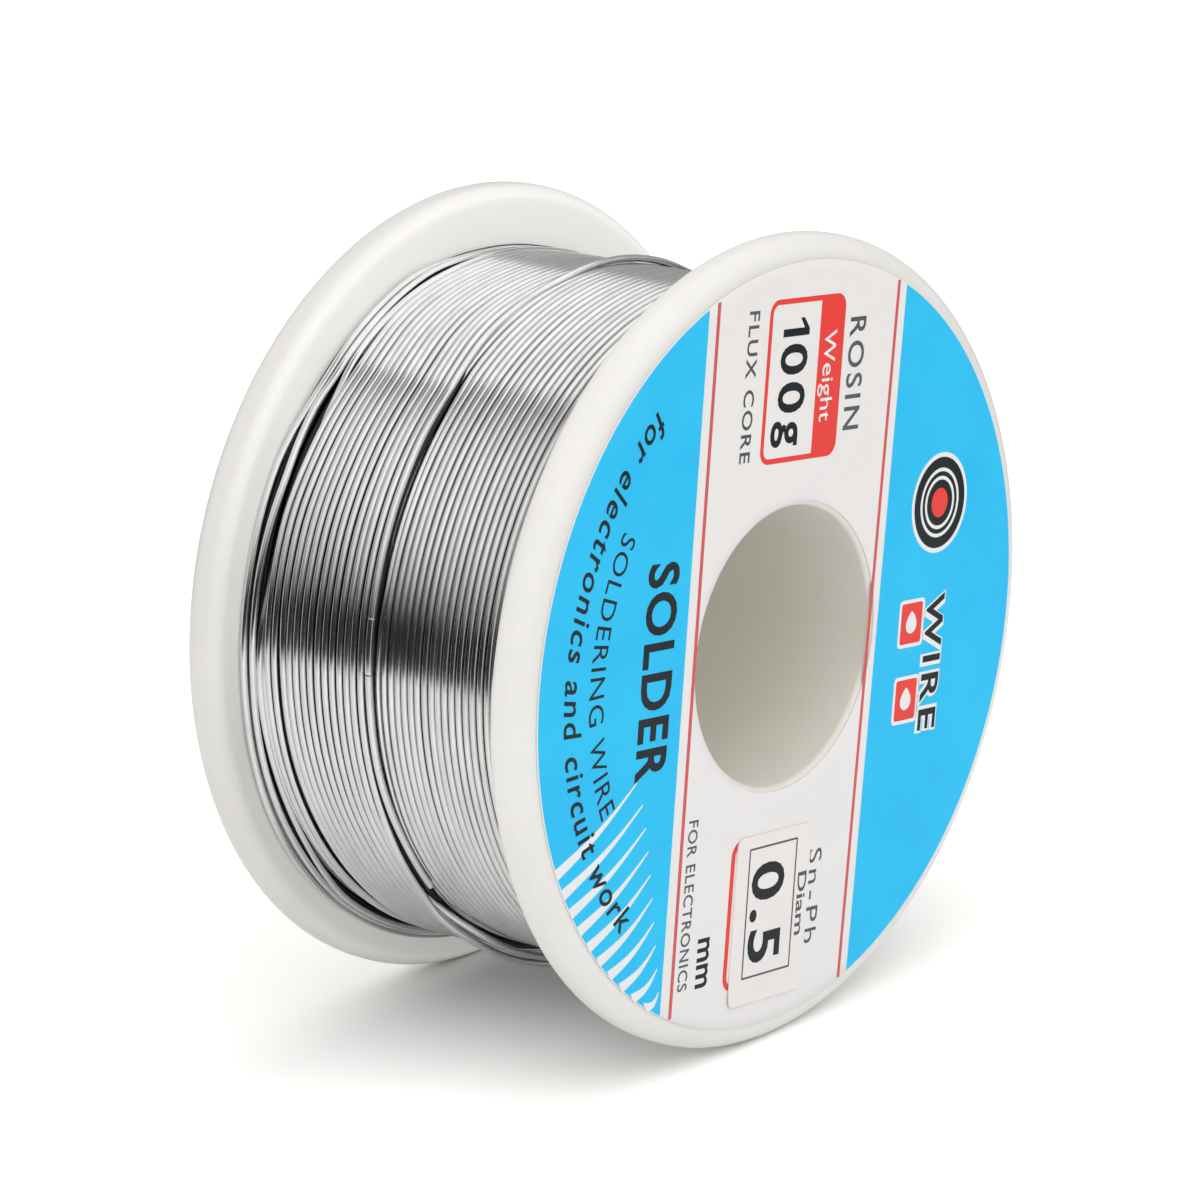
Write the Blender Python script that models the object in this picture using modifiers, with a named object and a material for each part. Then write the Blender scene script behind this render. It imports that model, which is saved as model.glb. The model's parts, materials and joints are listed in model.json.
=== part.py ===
"""Small spool of flux-cored solder wire.

Frame: +Y runs along the spool's axis, from the labelled front flange to the
rear flange, and +Z is up with the spool standing on its rims. The origin is on
the axis, half way between the two flange faces. Units are metres.

Build-up: two flange mouldings plug into a ribbed winding drum; the front
moulding carries the arbor tube that a spindle goes through. The wound wire is
a set of solid layers on the drum, with its start poked through the drum wall
and its last turn and free end lying in the step beside the partial layer.
"""
import math

import bmesh
import bpy
from mathutils import Matrix, Vector

MM = 0.001

# Flanges and arbor tube
CLEAR = 0.3 * MM              # gap between neighbouring pieces
FLANGE_R = 27.5 * MM
HALF_W = 14.5 * MM            # half the overall width across the flange faces
FLANGE_T = 3.0 * MM
FACE_IN = HALF_W - FLANGE_T   # distance of a flange's winding side from the middle
RIM_OUTER_FILLET = 1.45 * MM  # rim rounding on the outer face
RIM_INNER_FILLET = 1.15 * MM  # rim rounding on the winding side
BORE_R = 9.5 * MM
FRONT_MOUTH_FILLET = 0.35 * MM
REAR_MOUTH_FILLET = 0.4 * MM
TUBE_R = 11.3 * MM            # arbor tube outside radius
TUBE_END = HALF_W - 1.2 * MM  # rear end of the tube, inside the rear flange
SOCKET_R = TUBE_R + CLEAR     # hole that the tube goes into
SOCKET_Y = TUBE_END + CLEAR   # bottom of the rear flange's socket

# Winding drum, and the flange spigots that locate inside it
DRUM_R = 18.5 * MM
DRUM_WALL = 1.6 * MM
DRUM_IN = DRUM_R - DRUM_WALL
DRUM_HALF = FACE_IN - CLEAR   # half length of the drum and of the full layers
SLEEVE_WALL = 1.5 * MM        # inner ring of the drum that slides on the tube
RIB_COUNT = 3                 # each rib spans the whole drum
RIB_T = 1.2 * MM
RIB_HALF = 7.0 * MM           # half length of the ribs along the axis
RIB_SPAN = 2 * (DRUM_R - DRUM_WALL / 2)
SPIGOT_R = DRUM_IN - CLEAR
SPIGOT_IN = SPIGOT_R - 1.2 * MM
SPIGOT_L = 2.5 * MM
SPIGOT_END = FACE_IN - SPIGOT_L
BORE_CUTTER_HALF = 20.0 * MM

# Start of the wire, through a hole in the drum's top
START_Y = 8.0 * MM
START_HOLE_R = 0.5 * MM
START_CUTTER_HALF = 2.0 * MM
START_TOP = DRUM_R - 0.15 * MM
START_KNEE = DRUM_R - 3.0 * MM       # radius at which the wire runs along the axis
START_BEND = 0.8 * MM                # centreline radius of the bend
START_BEND_STEPS = 5
START_RUN = 4.5 * MM                 # how far forward of the hole the start ends

# Wound layers
WIRE_R = 0.25 * MM
INNER_LAYERS_R = 22.75 * MM
MAIN_IN = INNER_LAYERS_R + CLEAR
MAIN_R = 23.5 * MM                   # last full-width layer
UPPER_IN = MAIN_R + CLEAR
UPPER_R = 24.4 * MM                  # partial layer on the rear half
UPPER_Y0, UPPER_Y1 = 1.75 * MM, 9.3 * MM
CROSS_R = 24.2 * MM                  # loose crossing turns beside the rear flange
CROSS_Y0 = UPPER_Y1 + CLEAR

# Last turn and free end; angles are degrees from the -X side up towards +Z
TURN_R = 24.1 * MM                   # centreline of the last turn and free end
TURN_Y = UPPER_Y0 - CLEAR - WIRE_R   # in the step beside the partial layer
TAIL_ROOT = 10.0
TAIL_STEP = 16.0                     # arc of each of the three tail lengths
TAIL_GAP = 0.32 * MM                 # gap between neighbouring tail lengths
TAIL_PIECES = 6                      # straight pieces in each tail length
TURN_START = TAIL_ROOT + 0.8
TURN_END = TAIL_ROOT + 300.0
TURN_PIECES = 58
CORE_R = 0.08 * MM                   # flux core
CORE_WALL = 0.13 * MM                # solder wall around the core

# Label and sticker
LABEL_IN, LABEL_R = BORE_R + FRONT_MOUTH_FILLET, 25.9 * MM
LABEL_T = 0.1 * MM                   # thickness of the label and of the sticker
PAPER_GAP = 0.02 * MM
STICKER_W, STICKER_H = 8.2 * MM, 11.6 * MM
STICKER_X, STICKER_Z = -1.65 * MM, -18.3 * MM
STICKER_TILT = math.radians(5.6)     # about +Y, its top leaning towards +X
STICKER_CORNER = 0.45 * MM

# Facets and shading
STEPS = 72                           # facets around every turned piece
HOLE_STEPS = 16
LARGE_FILLET = 0.8 * MM              # fillets above this get one more facet
MERGE_DISTANCE = 0.001 * MM
SHARP_ANGLE = math.radians(35)


# ---------------------------------------------------------- scene and materials
def new_collection(name):
    collection = bpy.data.collections.new(name)
    bpy.context.scene.collection.children.link(collection)
    return collection


def new_material(name, colour, roughness, metallic=0.0):
    material = bpy.data.materials.new(name)
    material.use_nodes = True
    shader = material.node_tree.nodes["Principled BSDF"]
    shader.inputs["Base Color"].default_value = (*colour, 1.0)
    shader.inputs["Roughness"].default_value = roughness
    shader.inputs["Metallic"].default_value = metallic
    material.diffuse_color = (*colour, 1.0)
    return material


for old in list(bpy.data.objects):
    bpy.data.objects.remove(old, do_unlink=True)

part = new_collection("solder_wire_spool")
cutters = new_collection("cutters")

white = new_material("spool_plastic", colour=(0.86, 0.855, 0.84), roughness=0.38)
inner_white = new_material("drum_plastic", colour=(0.82, 0.81, 0.79), roughness=0.45)
tin = new_material("solder", colour=(0.72, 0.72, 0.73), roughness=0.22, metallic=1.0)
rosin = new_material("rosin", colour=(0.62, 0.36, 0.09), roughness=0.3)
vinyl = new_material("label_vinyl", colour=(0.22, 0.62, 0.90), roughness=0.4)
sticker_paper = new_material("sticker_paper", colour=(0.88, 0.87, 0.86), roughness=0.5)


# ---------------------------------------------------------------- turned pieces
def rounded(corners):
    """Turn a closed outline of (radius, y, fillet) corners into points, with a
    short arc at every corner whose fillet isn't zero."""
    points = []
    for i, (radius, y, fillet) in enumerate(corners):
        corner = Vector((radius, y))
        if not fillet:
            points.append(corner)
            continue
        to_last = (Vector(corners[i - 1][:2]) - corner).normalized()
        to_next = (Vector(corners[(i + 1) % len(corners)][:2]) - corner).normalized()
        half_angle = to_last.angle(to_next) / 2
        run = fillet / math.tan(half_angle)
        reach = fillet / math.sin(half_angle)
        centre = corner + (to_last + to_next).normalized() * reach
        start = corner + to_last * run - centre
        end = corner + to_next * run - centre
        sweep = start.angle_signed(end)
        pieces = 4 if fillet > LARGE_FILLET else 3
        for k in range(pieces + 1):
            points.append(centre + Matrix.Rotation(-sweep * k / pieces, 2) @ start)
    return points


def lathe(name, corners, material):
    """Piece turned about the Y axis from (radius, y, fillet) corners, which run
    down the outer side and back up the inner side. Screw spins the outline
    about local Z, which is laid on +Y."""
    points = rounded(corners)
    mesh = bpy.data.meshes.new(name)
    mesh.from_pydata([(point.x, 0.0, point.y) for point in points],
                     [(i, (i + 1) % len(points)) for i in range(len(points))], [])
    mesh.materials.append(material)
    obj = bpy.data.objects.new(name, mesh)
    part.objects.link(obj)
    spin = obj.modifiers.new("Screw", "SCREW")
    spin.axis = "Z"
    spin.angle = math.tau
    spin.steps = spin.render_steps = STEPS
    spin.use_merge_vertices = True
    spin.merge_threshold = MERGE_DISTANCE
    spin.use_smooth_shade = True
    # half a facet of turn about the axis puts a flat of the rim underneath
    obj.rotation_euler = (-math.pi / 2, math.pi / STEPS, 0.0)
    return obj


def ring(name, r_in, r_out, y0, y1, material):
    corners = [(r_out, y1, 0), (r_out, y0, 0), (r_in, y0, 0), (r_in, y1, 0)]
    return lathe(name, corners, material)


# ------------------------------------------------------------- boxes and cutters
def object_from_bmesh(name, shape, home):
    mesh = bpy.data.meshes.new(name)
    shape.to_mesh(mesh)
    shape.free()
    obj = bpy.data.objects.new(name, mesh)
    home.objects.link(obj)
    return obj


def cylinder(name, radius, half_length, vertices=STEPS):
    """Cutter cylinder along Y, centred on its origin."""
    shape = bmesh.new()
    bmesh.ops.create_cone(shape, cap_ends=True, segments=vertices,
                          radius1=radius, radius2=radius, depth=2 * half_length)
    bmesh.ops.rotate(shape, verts=shape.verts, cent=(0, 0, 0),
                     matrix=Matrix.Rotation(-math.pi / 2, 3, "X"))
    return object_from_bmesh(name, shape, cutters)


def box(name, size, home):
    shape = bmesh.new()
    bmesh.ops.create_cube(shape, size=1.0)
    bmesh.ops.scale(shape, vec=size, verts=shape.verts)
    return object_from_bmesh(name, shape, home)


def boolean(obj, cutter, operation):
    """Combine a hidden helper with a piece."""
    cutter.hide_render = True
    cutter.display_type = "WIRE"
    modifier = obj.modifiers.new(operation.title(), "BOOLEAN")
    modifier.operation = operation
    modifier.solver = "EXACT"
    modifier.object = cutter


# ------------------------------------------------------------------------- wires
def wire(name, points, origin, material, radius=WIRE_R, caps=True):
    """Round wire along a list of world points, with its own origin."""
    curve = bpy.data.curves.new(name, "CURVE")
    curve.dimensions = "3D"
    curve.bevel_depth = radius
    curve.bevel_resolution = 2
    curve.render_resolution_u = 0
    curve.use_fill_caps = caps
    spline = curve.splines.new("POLY")
    spline.points.add(len(points) - 1)
    for target, point in zip(spline.points, points):
        target.co = (*(point - Vector(origin)), 1.0)
        target.radius = 1.0
    spline.use_smooth = True
    curve.materials.append(material)
    obj = bpy.data.objects.new(name, curve)
    obj.location = origin
    part.objects.link(obj)
    return obj


def on_turn(degrees):
    """Point on the last turn's centreline."""
    angle = math.radians(degrees)
    return Vector((-TURN_R * math.cos(angle), TURN_Y, TURN_R * math.sin(angle)))


def turn_arc(start, end, pieces):
    return [on_turn(start + (end - start) * k / pieces) for k in range(pieces + 1)]


# ------------------------------------------------------------------------ pieces
def build_front_flange():
    """Front flange with its spigot and the arbor tube."""
    lathe("front_flange", [
        (BORE_R, TUBE_END, 0),
        (TUBE_R, TUBE_END, 0),
        (TUBE_R, -FACE_IN, 0),
        (SPIGOT_IN, -FACE_IN, 0),
        (SPIGOT_IN, -SPIGOT_END, 0),
        (SPIGOT_R, -SPIGOT_END, 0),
        (SPIGOT_R, -FACE_IN, 0),
        (FLANGE_R, -FACE_IN, RIM_INNER_FILLET),
        (FLANGE_R, -HALF_W, RIM_OUTER_FILLET),
        (BORE_R, -HALF_W, FRONT_MOUTH_FILLET),
    ], white)


def build_rear_flange():
    """Rear flange with its spigot and the socket for the tube's end."""
    lathe("rear_flange", [
        (BORE_R, HALF_W, REAR_MOUTH_FILLET),
        (FLANGE_R, HALF_W, RIM_OUTER_FILLET),
        (FLANGE_R, FACE_IN, RIM_INNER_FILLET),
        (SPIGOT_R, FACE_IN, 0),
        (SPIGOT_R, SPIGOT_END, 0),
        (SPIGOT_IN, SPIGOT_END, 0),
        (SPIGOT_IN, FACE_IN, 0),
        (SOCKET_R, FACE_IN, 0),
        (SOCKET_R, SOCKET_Y, 0),
        (BORE_R, SOCKET_Y, 0),
    ], white)


def build_drum():
    """Drum wall joined by ribs to a sleeve, bored last so the tube passes."""
    drum = ring("winding_drum", DRUM_IN, DRUM_R, -DRUM_HALF, DRUM_HALF, inner_white)
    for k in range(RIB_COUNT):
        rib = box(f"rib_{k + 1}", (RIB_SPAN, 2 * RIB_HALF, RIB_T), cutters)
        rib.rotation_euler = (0, math.radians(180 / RIB_COUNT * k), 0)
        boolean(drum, rib, "UNION")
    boolean(drum, cylinder("sleeve_blank", SOCKET_R + SLEEVE_WALL, DRUM_HALF), "UNION")
    boolean(drum, cylinder("sleeve_bore", SOCKET_R, BORE_CUTTER_HALF), "DIFFERENCE")

    start_hole = cylinder("start_hole", START_HOLE_R, START_CUTTER_HALF, HOLE_STEPS)
    start_hole.rotation_euler = (math.pi / 2, 0.0, 0.0)
    start_hole.location = (0.0, START_Y, DRUM_R - DRUM_WALL / 2)
    boolean(drum, start_hole, "DIFFERENCE")


def build_layers():
    """Wound layers, each a solid ring."""
    for name, r_in, r_out, y0, y1 in (
        ("wire_inner_layers", DRUM_R + CLEAR, INNER_LAYERS_R, -DRUM_HALF, DRUM_HALF),
        ("wire_main_layer", MAIN_IN, MAIN_R, -DRUM_HALF, DRUM_HALF),
        ("wire_upper_layer", UPPER_IN, UPPER_R, UPPER_Y0, UPPER_Y1),
        ("wire_crossover_turns", UPPER_IN, CROSS_R, CROSS_Y0, DRUM_HALF),
    ):
        ring(name, r_in, r_out, y0, y1, tin)


def build_wire_start():
    """Down through the drum wall, then bent to run forward inside the drum."""
    path = [Vector((0, START_Y, START_TOP)),
            Vector((0, START_Y, START_KNEE + START_BEND))]
    for k in range(1, START_BEND_STEPS + 1):
        angle = math.radians(90 * k / START_BEND_STEPS)
        path.append(Vector((0, START_Y - START_BEND * (1 - math.cos(angle)),
                            START_KNEE + START_BEND * (1 - math.sin(angle)))))
    path.append(Vector((0, START_Y - START_RUN, START_KNEE)))
    wire("wire_start_end", path, path[0], tin)


def build_last_turn():
    wire("wire_last_turn", turn_arc(TURN_START, TURN_END, TURN_PIECES), (0, 0, 0), tin)


def build_tail():
    """Free end in three short lengths, running down the -X side."""
    half_gap = math.degrees(TAIL_GAP / TURN_R) / 2
    for k, name in enumerate(("wire_tail_root", "wire_tail_middle")):
        top = TAIL_ROOT - TAIL_STEP * k
        path = turn_arc(top - half_gap, top - TAIL_STEP + half_gap, TAIL_PIECES)
        wire(name, path, on_turn(top), tin)

    # the last length is a tube around its flux core, open at both cut ends
    top = TAIL_ROOT - 2 * TAIL_STEP
    path = turn_arc(top - half_gap, top - TAIL_STEP, TAIL_PIECES)
    tip = wire("wire_tail_tip", path, on_turn(top), tin, caps=False)
    wall = tip.modifiers.new("Solidify", "SOLIDIFY")
    wall.thickness = CORE_WALL
    wall.offset = -1.0
    wall.use_even_offset = True
    wall.use_rim = True
    wire("flux_core", path, on_turn(top), rosin, radius=CORE_R)


def build_label_and_sticker():
    """Label disc on the front face, with a small sticker low on it."""
    label_back = -HALF_W - PAPER_GAP
    label_front = label_back - LABEL_T
    ring("label_disc", LABEL_IN, LABEL_R, label_front, label_back, vinyl)

    sticker = box("spec_sticker", (STICKER_W, LABEL_T, STICKER_H), part)
    sticker.location = (STICKER_X, label_front - PAPER_GAP - LABEL_T / 2, STICKER_Z)
    sticker.rotation_euler = (0, STICKER_TILT, 0)
    mesh = sticker.data
    mesh.materials.append(sticker_paper)
    bevel = sticker.modifiers.new("Bevel", "BEVEL")
    bevel.width = STICKER_CORNER
    bevel.segments = 2
    bevel.limit_method = "WEIGHT"
    # only the four edges through the thickness are rounded
    weights = mesh.attributes.new("bevel_weight_edge", "FLOAT", "EDGE")
    for edge in mesh.edges:
        start, end = (mesh.vertices[i].co for i in edge.vertices)
        along = (start - end).normalized()
        weights.data[edge.index].value = 1.0 if abs(along.y) > 0.9 else 0.0


def shade_pieces():
    """Shade the mesh pieces smooth, with their corners kept crisp."""
    for obj in part.objects:
        if obj.type == "MESH":
            obj.data.shade_smooth()
            obj.data.set_sharp_from_angle(angle=SHARP_ANGLE)


build_front_flange()
build_rear_flange()
build_drum()
build_layers()
build_last_turn()
build_wire_start()
build_tail()
build_label_and_sticker()
shade_pieces()
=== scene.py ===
"""A spool of solder wire standing on its flanges' rims.

The spool's axis is Y and its middle is the origin. The front flange, with the label and the
sticker, faces -Y. The winding's free end lies on the -X side. Sizes are in millimetres until
a mesh is made, where MM turns them into metres.
"""

import json
import math

import bmesh
import bpy
import numpy as np
from mathutils import Matrix, Vector

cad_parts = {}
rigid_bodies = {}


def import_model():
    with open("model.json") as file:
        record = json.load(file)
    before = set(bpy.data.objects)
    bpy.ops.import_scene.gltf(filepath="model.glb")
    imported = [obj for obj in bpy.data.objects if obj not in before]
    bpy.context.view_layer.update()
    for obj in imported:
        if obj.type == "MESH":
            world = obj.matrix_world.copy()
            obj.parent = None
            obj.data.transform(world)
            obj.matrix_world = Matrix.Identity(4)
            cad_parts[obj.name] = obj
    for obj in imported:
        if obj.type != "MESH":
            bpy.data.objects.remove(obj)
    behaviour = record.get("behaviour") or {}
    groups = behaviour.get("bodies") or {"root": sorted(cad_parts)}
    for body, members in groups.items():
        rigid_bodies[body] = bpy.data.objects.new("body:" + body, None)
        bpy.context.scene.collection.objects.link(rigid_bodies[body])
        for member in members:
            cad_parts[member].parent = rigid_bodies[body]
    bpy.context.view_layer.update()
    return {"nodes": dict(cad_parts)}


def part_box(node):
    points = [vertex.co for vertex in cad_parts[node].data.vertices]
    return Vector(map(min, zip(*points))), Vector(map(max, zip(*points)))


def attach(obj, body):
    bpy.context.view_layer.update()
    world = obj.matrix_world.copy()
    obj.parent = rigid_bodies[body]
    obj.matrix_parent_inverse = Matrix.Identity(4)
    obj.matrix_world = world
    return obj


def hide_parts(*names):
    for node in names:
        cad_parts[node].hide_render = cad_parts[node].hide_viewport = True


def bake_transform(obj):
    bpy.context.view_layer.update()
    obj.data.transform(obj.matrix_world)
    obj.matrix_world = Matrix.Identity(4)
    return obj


for old in list(bpy.data.objects):
    bpy.data.objects.remove(old, do_unlink=True)

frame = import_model()
MM = 0.001
TAU = math.tau
scene = bpy.context.scene

# ------------------------------------------------------------------ sizes (mm)
HALF_W = -(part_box("front_flange")[0] / MM).y      # outer face of either flange
FLANGE_R = 27.5
FLANGE_T = 3.0
FACE_IN = HALF_W - FLANGE_T                       # inner face of either flange
BORE_R = 9.5
SPIGOT_R = 16.6
SPIGOT_IN_R = SPIGOT_R - 1.2
SPIGOT_END = FACE_IN - 2.5
LABEL_TOP = -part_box("label_disc")[0].y / MM       # label's face, from the origin
STICKER_TOP = -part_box("spec_sticker")[0].y / MM
LABEL_IN_R, LABEL_OUT_R = 9.85, 25.9
WIRE_R = 0.25
TURN_R = 24.1                                     # wire centre in the last turn
TAIL_ROOT, TAIL_STEP = 10.0, 16.0                 # first hinge and hinge spacing, degrees
PER_TURN = 150                                    # rings of wire in each turn


# =================================================================== mesh tools
def solid_mesh(name, points, faces, sharp, uv=None):
    """Closed, smooth-shaded mesh from points in mm; edges over sharp degrees stay crisp."""
    mesh = bpy.data.meshes.new(name)
    mesh.from_pydata([tuple(p) for p in np.asarray(points, float) * MM], [], faces)
    if uv is not None:
        layer = mesh.uv_layers.new(name="wire")
        layer.data.foreach_set("uv", np.asarray(uv, np.float32).ravel())
    mesh.update()
    bm = bmesh.new()
    bm.from_mesh(mesh)
    bmesh.ops.recalc_face_normals(bm, faces=bm.faces)
    bm.to_mesh(mesh)
    bm.free()
    mesh.shade_smooth()
    mesh.set_sharp_from_angle(angle=math.radians(sharp))
    return mesh


def add(name, mesh, material, body="spool", replaces=()):
    obj = bpy.data.objects.new(name, mesh)
    scene.collection.objects.link(obj)
    mesh.materials.append(material)
    if body:
        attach(obj, body)
    if replaces:
        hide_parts(*replaces)
    return obj


def fillets(corners, steps):
    """(r, y, fillet) corners of a closed outline, each rounded with a short arc."""
    out = []
    for i, (x, y, fillet) in enumerate(corners):
        here = Vector((x, y))
        if not fillet:
            out.append(here)
            continue
        back = (Vector(corners[i - 1][:2]) - here).normalized()
        ahead = (Vector(corners[(i + 1) % len(corners)][:2]) - here).normalized()
        half = back.angle(ahead) / 2
        centre = here + (back + ahead).normalized() * (fillet / math.sin(half))
        start = here + back * fillet / math.tan(half) - centre
        end = here + ahead * fillet / math.tan(half) - centre
        sweep = start.angle_signed(end)
        for k in range(steps + 1):
            out.append(centre + Matrix.Rotation(-sweep * k / steps, 2) @ start)
    return [(p.x, p.y) for p in out]


def lathe(name, outline, steps, sharp=40):
    """Closed outline of (r, y) points turned about the Y axis."""
    count = len(outline)
    angle = (np.arange(steps) * TAU / steps)[:, None]
    r, y = np.array(outline).T
    points = np.stack([r * np.cos(angle), np.tile(y, (steps, 1)), r * np.sin(angle)], -1)
    faces = []
    for i in range(steps):
        j = (i + 1) % steps
        for k in range(count):
            n = (k + 1) % count
            faces.append((i * count + k, i * count + n, j * count + n, j * count + k))
    return solid_mesh(name, points.reshape(-1, 3), faces, sharp)


def on_winding(r, deg, y):
    """Points on the winding: degrees run from the -X side up towards +Z."""
    angle = np.radians(deg)
    return np.stack([-r * np.cos(angle), y * np.ones_like(angle), r * np.sin(angle)], -1)


def strand(name, r, deg, y, sides, wire_r=WIRE_R, dome=(0.10, 0.10), core=0.0, lead=0.0):
    """Round wire laid on the winding along arrays of radius, angle and axial place.

    Its ends are cut and slightly rounded, or left flush where another length goes on.
    With core, the last end keeps a recess. lead is the wire's length before this piece.
    """
    r, deg, y = (np.asarray(v, float) for v in (r, deg, y))
    path = on_winding(r, deg, y)
    tangent = np.gradient(path, axis=0)
    tangent /= np.linalg.norm(tangent, axis=1)[:, None]
    a = np.radians(deg)
    out = np.stack([-np.cos(a), 0 * a, np.sin(a)], -1)
    out -= tangent * (out * tangent).sum(1)[:, None]
    out /= np.linalg.norm(out, axis=1)[:, None]
    side = np.cross(tangent, out)
    around = (np.arange(sides) * TAU / sides)[:, None]

    def ring(centre, i, scale):
        return centre + scale * wire_r * (np.cos(around) * out[i] + np.sin(around) * side[i])

    shrink = [0.86 if d > 0.05 else 0.99 for d in dome]
    centres = path.copy()
    centres[0] += tangent[0] * (wire_r * dome[0])
    centres[-1] -= tangent[-1] * (wire_r * dome[1])
    rings = [ring(path[0], 0, shrink[0])]
    rings += [ring(centre, i, 1.0) for i, centre in enumerate(centres)]
    rings.append(ring(path[-1], -1, shrink[1]))
    if core:
        rings.append(ring(path[-1], -1, core))
        rings.append(ring(path[-1] - tangent[-1] * 0.05, -1, core))
    n = len(rings)
    i, k = np.meshgrid(np.arange(n - 1), np.arange(sides), indexing="ij")
    k2 = (k + 1) % sides
    quads = [i * sides + k, i * sides + k2, (i + 1) * sides + k2, (i + 1) * sides + k]
    faces = np.stack(quads, -1).reshape(-1, 4).tolist()
    faces += [list(range(sides - 1, -1, -1)), list(range((n - 1) * sides, n * sides))]
    # UV: length along the wire in mm, and once round it
    steps = np.linalg.norm(np.diff(path, axis=0), axis=1)
    length = lead + np.concatenate([[0], np.cumsum(steps)])
    length = np.concatenate([[length[0]], length, [length[-1]] * (n - len(length) - 1)])
    u0, u1 = length[i].reshape(-1), length[i + 1].reshape(-1)
    v0, v1 = (k / sides).reshape(-1), ((k + 1) / sides).reshape(-1)
    uv = np.stack([u0, v0, u0, v1, u1, v1, u1, v0], -1).reshape(-1, 2)
    uv = np.concatenate([uv, np.zeros((sides, 2)), np.full((sides, 2), length[-1])])
    return solid_mesh(name, np.concatenate(rings), faces, 50, uv)


def waves(t, amp, cycles, seed):
    """Smooth seeded wander along t (in turns)."""
    draw = np.random.default_rng(seed)
    terms = 4
    out = np.zeros_like(np.asarray(t, float))
    for k in range(terms):
        rate = cycles * (0.6 + 1.1 * k / terms + 0.35 * draw.random())
        out = out + math.sqrt(1.0 / terms) * np.sin(TAU * (rate * t + draw.random()))
    return amp * out


# =================================================================== node tools
def node(tree, kind, inputs=(), **settings):
    """New shader node; inputs maps a socket's name or number to a socket or a value."""
    made = tree.nodes.new(kind)
    for key, value in settings.items():
        setattr(made, key, value)
    feed(tree, made, inputs)
    return made


def feed(tree, target, inputs):
    for key, value in dict(inputs).items():
        if isinstance(value, bpy.types.NodeSocket):
            tree.links.new(value, target.inputs[key])
        else:
            target.inputs[key].default_value = value


def new_material(name):
    material = bpy.data.materials.new(name)
    material.use_nodes = True
    tree = material.node_tree
    return material, tree, tree.nodes["Principled BSDF"]


def coords(tree, scale=(1, 1, 1), source="Object"):
    origin = node(tree, "ShaderNodeTexCoord").outputs[source]
    return node(tree, "ShaderNodeMapping", {"Scale": scale, "Vector": origin}).outputs["Vector"]


def noise(tree, vector, scale, detail=4.0, rough=0.55):
    return node(tree, "ShaderNodeTexNoise", {"Scale": scale, "Detail": detail, "Roughness": rough,
                                             "Vector": vector}).outputs["Fac"]


def remap(tree, source, span, to=(0.0, 1.0)):
    return node(tree, "ShaderNodeMapRange", {
        "From Min": span[0], "From Max": span[1], "To Min": to[0], "To Max": to[1],
        "Value": source}).outputs["Result"]


def calc(tree, operation, a, b):
    return node(tree, "ShaderNodeMath", {0: a, 1: b}, operation=operation).outputs[0]


def separate(tree, vector):
    return node(tree, "ShaderNodeSeparateXYZ", {0: vector}).outputs


def mix_rgb(tree, factor, a, b):
    """a where factor is 0, b where it is 1; each is a socket or an RGB triple."""
    a, b = ((*v, 1.0) if isinstance(v, tuple) else v for v in (a, b))
    return node(tree, "ShaderNodeMix", {0: factor, 6: a, 7: b}, data_type="RGBA").outputs[2]


def mix_level(tree, factor, a, b):
    return node(tree, "ShaderNodeMix", {0: factor, 2: a, 3: b}, data_type="FLOAT").outputs[0]


def bump(tree, bsdf, height, distance, strength, under=None):
    """Bump feeding the surface, laid over an earlier bump if one is given."""
    inputs = {"Distance": distance, "Strength": strength, "Height": height}
    if under is not None:
        inputs["Normal"] = under
    normal = node(tree, "ShaderNodeBump", inputs).outputs["Normal"]
    feed(tree, bsdf, {"Normal": normal})
    return normal


# =================================================================== materials
def paint_bore_shade(tree, vector, tone, bore_shade):
    """Painted shade: blend the tone into a darker colour close round the axis, inside the bore."""
    flat = node(tree, "ShaderNodeVectorMath", {0: vector, 1: (1, 0, 1)}, operation="MULTIPLY")
    dist = node(tree, "ShaderNodeVectorMath", {0: flat.outputs[0]}, operation="LENGTH")
    span = ((BORE_R + 0.05) * MM, (BORE_R + 0.3) * MM)
    near = remap(tree, dist.outputs["Value"], span=span, to=(1.0, 0.0))
    return mix_rgb(tree, near, tone, bore_shade)


def paint_flange_glow(tree, bsdf, vector, levels):
    """Painted light: an emission on the face towards the winding, standing in for daylight through
    the milky flange.

    levels are (height z in metres, strength) pairs.
    """
    strongest = 0.4
    normal = separate(tree, node(tree, "ShaderNodeNewGeometry").outputs["Normal"])
    place = separate(tree, vector)
    low, high = -FLANGE_R * MM, FLANGE_R * MM
    ramp = node(tree, "ShaderNodeValToRGB",
                {0: remap(tree, place[2], span=(low, high))})
    elements = ramp.color_ramp.elements
    keys = [((z - low) / (high - low), level / strongest) for z, level in levels]
    for element, (position, level) in zip(elements, (keys[0], keys[-1])):
        element.position = position
        element.color = (level, level, level, 1)
    for position, level in keys[1:-1]:
        elements.new(position).color = (level, level, level, 1)
    facing = remap(tree, normal[1], span=(-0.3, -0.95), to=(0.0, strongest))
    on_flange = remap(tree, place[1], span=(0.0095, 0.0100))
    painted_glow = calc(tree, "MULTIPLY", facing, on_flange)
    feed(tree, bsdf, {"Emission Strength": calc(tree, "MULTIPLY", painted_glow, ramp.outputs[0]),
                      "Emission Color": (1.0, 0.985, 0.96, 1)})


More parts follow.
